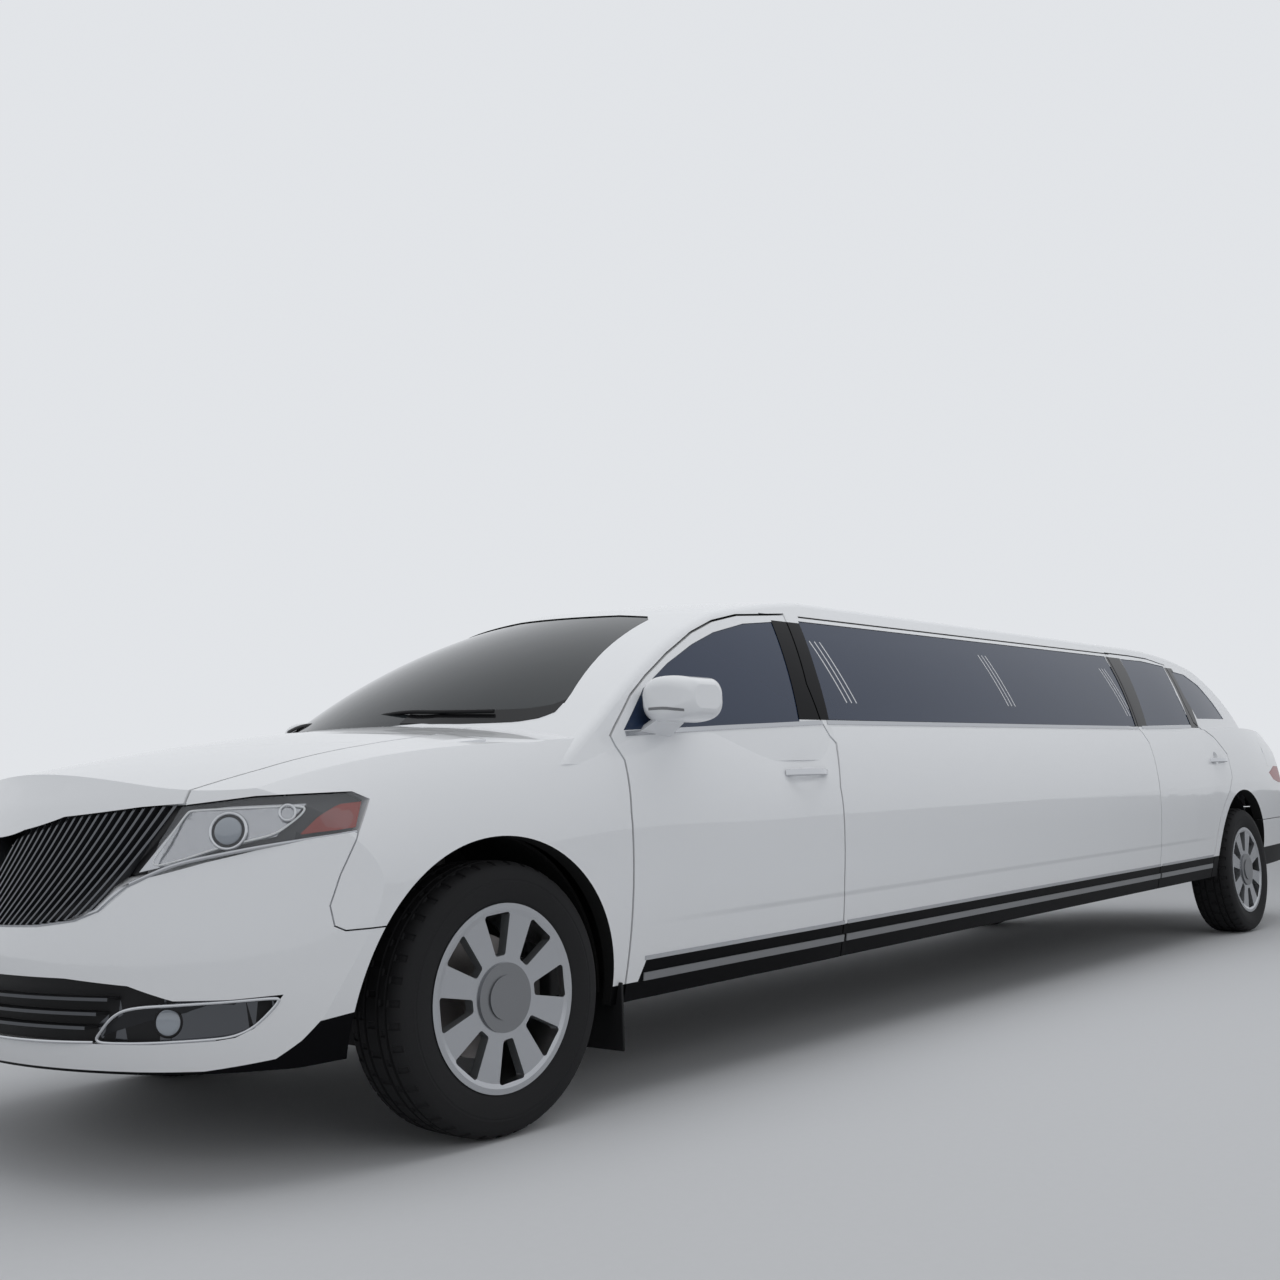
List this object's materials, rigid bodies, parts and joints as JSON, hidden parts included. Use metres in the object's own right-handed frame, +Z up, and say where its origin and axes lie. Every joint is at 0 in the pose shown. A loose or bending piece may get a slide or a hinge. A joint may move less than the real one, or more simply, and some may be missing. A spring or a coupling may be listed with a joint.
{
  "type": "stretch limousine",
  "caption": "Stretch limousine with a split grille, long tinted side glass, opening doors, bonnet and tailgate, steered front wheels and lounge seating.",
  "frame": {"origin": "on the ground, midway between the two ends of the bumpers and between the sides", "axes": "+X towards the rear, +Y to the car's right, +Z up"},
  "size_m": [8.3197, 2.224, 1.7315],
  "materials": {
    "paint": "white pearl gloss",
    "black_trim": "grained black",
    "grille_dark": "dark gloss",
    "lamp_clear": "clear polished",
    "lamp_dark": "dark gloss",
    "lamp_red": "red lens",
    "tinted_glass": "deep tint",
    "chrome": "polished",
    "underbody": "matt black",
    "chassis_steel": "satin black",
    "cast_metal": "as cast",
    "exhaust_steel": "dull",
    "cabin_trim": "soft grain",
    "seat_leather": "black",
    "tyre": "matt",
    "alloy": "machined"
  },
  "bodies": {
    "body": {"body_shell": "paint", "stretch_panel_left": "paint", "stretch_panel_right": "paint", "wing_left": "paint", "wing_right": "paint", "cowl": "black_trim", "front_bumper": "paint", "rear_bumper": "paint", "grille": "grille_dark", "intake": "black_trim", "headlamp_lenses": "lamp_clear", "headlamp_housings": "lamp_dark", "tail_lamps": "lamp_red", "windscreen": "tinted_glass", "side_glass": "tinted_glass", "floor_pan": "underbody", "front_subframe": "chassis_steel", "rear_subframe": "chassis_steel", "engine": "cast_metal", "exhaust": "exhaust_steel", "dashboard": "cabin_trim", "front_seats": "seat_leather", "side_bench": "seat_leather", "rear_bench": "seat_leather"},
    "front_left_door": {"front_door_left": "paint", "front_door_glass_left": "tinted_glass", "front_door_handle_left": "chrome", "door_mirror_left": "paint"},
    "rear_left_door": {"rear_door_left": "paint", "rear_door_glass_left": "tinted_glass", "rear_door_handle_left": "chrome"},
    "front_right_door": {"front_door_right": "paint", "front_door_glass_right": "tinted_glass", "front_door_handle_right": "chrome", "door_mirror_right": "paint"},
    "rear_right_door": {"rear_door_right": "paint", "rear_door_glass_right": "tinted_glass", "rear_door_handle_right": "chrome"},
    "bonnet": {"bonnet": "paint"},
    "tailgate": {"tailgate": "paint", "tailgate_glass": "tinted_glass", "tailgate_lamp": "lamp_red"},
    "left_knuckle": {"steering_knuckle_left": "cast_metal"},
    "right_knuckle": {"steering_knuckle_right": "cast_metal"},
    "front_left_wheel": {"tyre_front_left": "tyre", "wheel_front_left": "alloy"},
    "front_right_wheel": {"tyre_front_right": "tyre", "wheel_front_right": "alloy"},
    "rear_left_wheel": {"tyre_rear_left": "tyre", "wheel_rear_left": "alloy"},
    "rear_right_wheel": {"tyre_rear_right": "tyre", "wheel_rear_right": "alloy"}
  },
  "joints": [
    {"name": "front_left_door_hinge", "type": "hinge", "parent": "body", "child": "front_left_door", "pos_m": [-2.6325, -0.965, 0.8], "axis": [0, 0, -1], "range_deg": [0, 65]},
    {"name": "rear_left_door_hinge", "type": "hinge", "parent": "body", "child": "rear_left_door", "pos_m": [1.5575, -0.965, 0.85], "axis": [0, 0, -1], "range_deg": [0, 68]},
    {"name": "front_right_door_hinge", "type": "hinge", "parent": "body", "child": "front_right_door", "pos_m": [-2.6325, 0.965, 0.8], "axis": [0, 0, 1], "range_deg": [0, 65]},
    {"name": "rear_right_door_hinge", "type": "hinge", "parent": "body", "child": "rear_right_door", "pos_m": [1.5575, 0.965, 0.85], "axis": [0, 0, 1], "range_deg": [0, 68]},
    {"name": "bonnet_hinge", "type": "hinge", "parent": "body", "child": "bonnet", "pos_m": [-2.8785, 0, 1.15], "axis": [0, 1, 0], "range_deg": [0, 50]},
    {"name": "tailgate_hinge", "type": "hinge", "parent": "body", "child": "tailgate", "pos_m": [2.9565, 0, 1.672], "axis": [0, -1, 0], "range_deg": [0, 80]},
    {"name": "left_steering", "type": "hinge", "parent": "body", "child": "left_knuckle", "pos_m": [-3.1405, -0.758, 0.25], "axis": [0, 0.2135, 0.9769], "range_deg": [-33, 33]},
    {"name": "right_steering", "type": "hinge", "parent": "body", "child": "right_knuckle", "pos_m": [-3.1405, 0.758, 0.25], "axis": [0, -0.2135, 0.9769], "range_deg": [-33, 33]},
    {"name": "front_left_roll", "type": "hinge", "parent": "left_knuckle", "child": "front_left_wheel", "pos_m": [-3.1405, -0.828, 0.3705], "axis": [0, 1, 0], "continuous": true},
    {"name": "front_right_roll", "type": "hinge", "parent": "right_knuckle", "child": "front_right_wheel", "pos_m": [-3.1405, 0.828, 0.3705], "axis": [0, 1, 0], "continuous": true},
    {"name": "rear_left_roll", "type": "hinge", "parent": "body", "child": "rear_left_wheel", "pos_m": [2.9025, -0.828, 0.3705], "axis": [0, 1, 0], "continuous": true},
    {"name": "rear_right_roll", "type": "hinge", "parent": "body", "child": "rear_right_wheel", "pos_m": [2.9025, 0.828, 0.3705], "axis": [0, 1, 0], "continuous": true}
  ],
  "couplings": [
    {"joint": "right_steering", "follows": "left_steering", "ratio": 1}
  ]
}
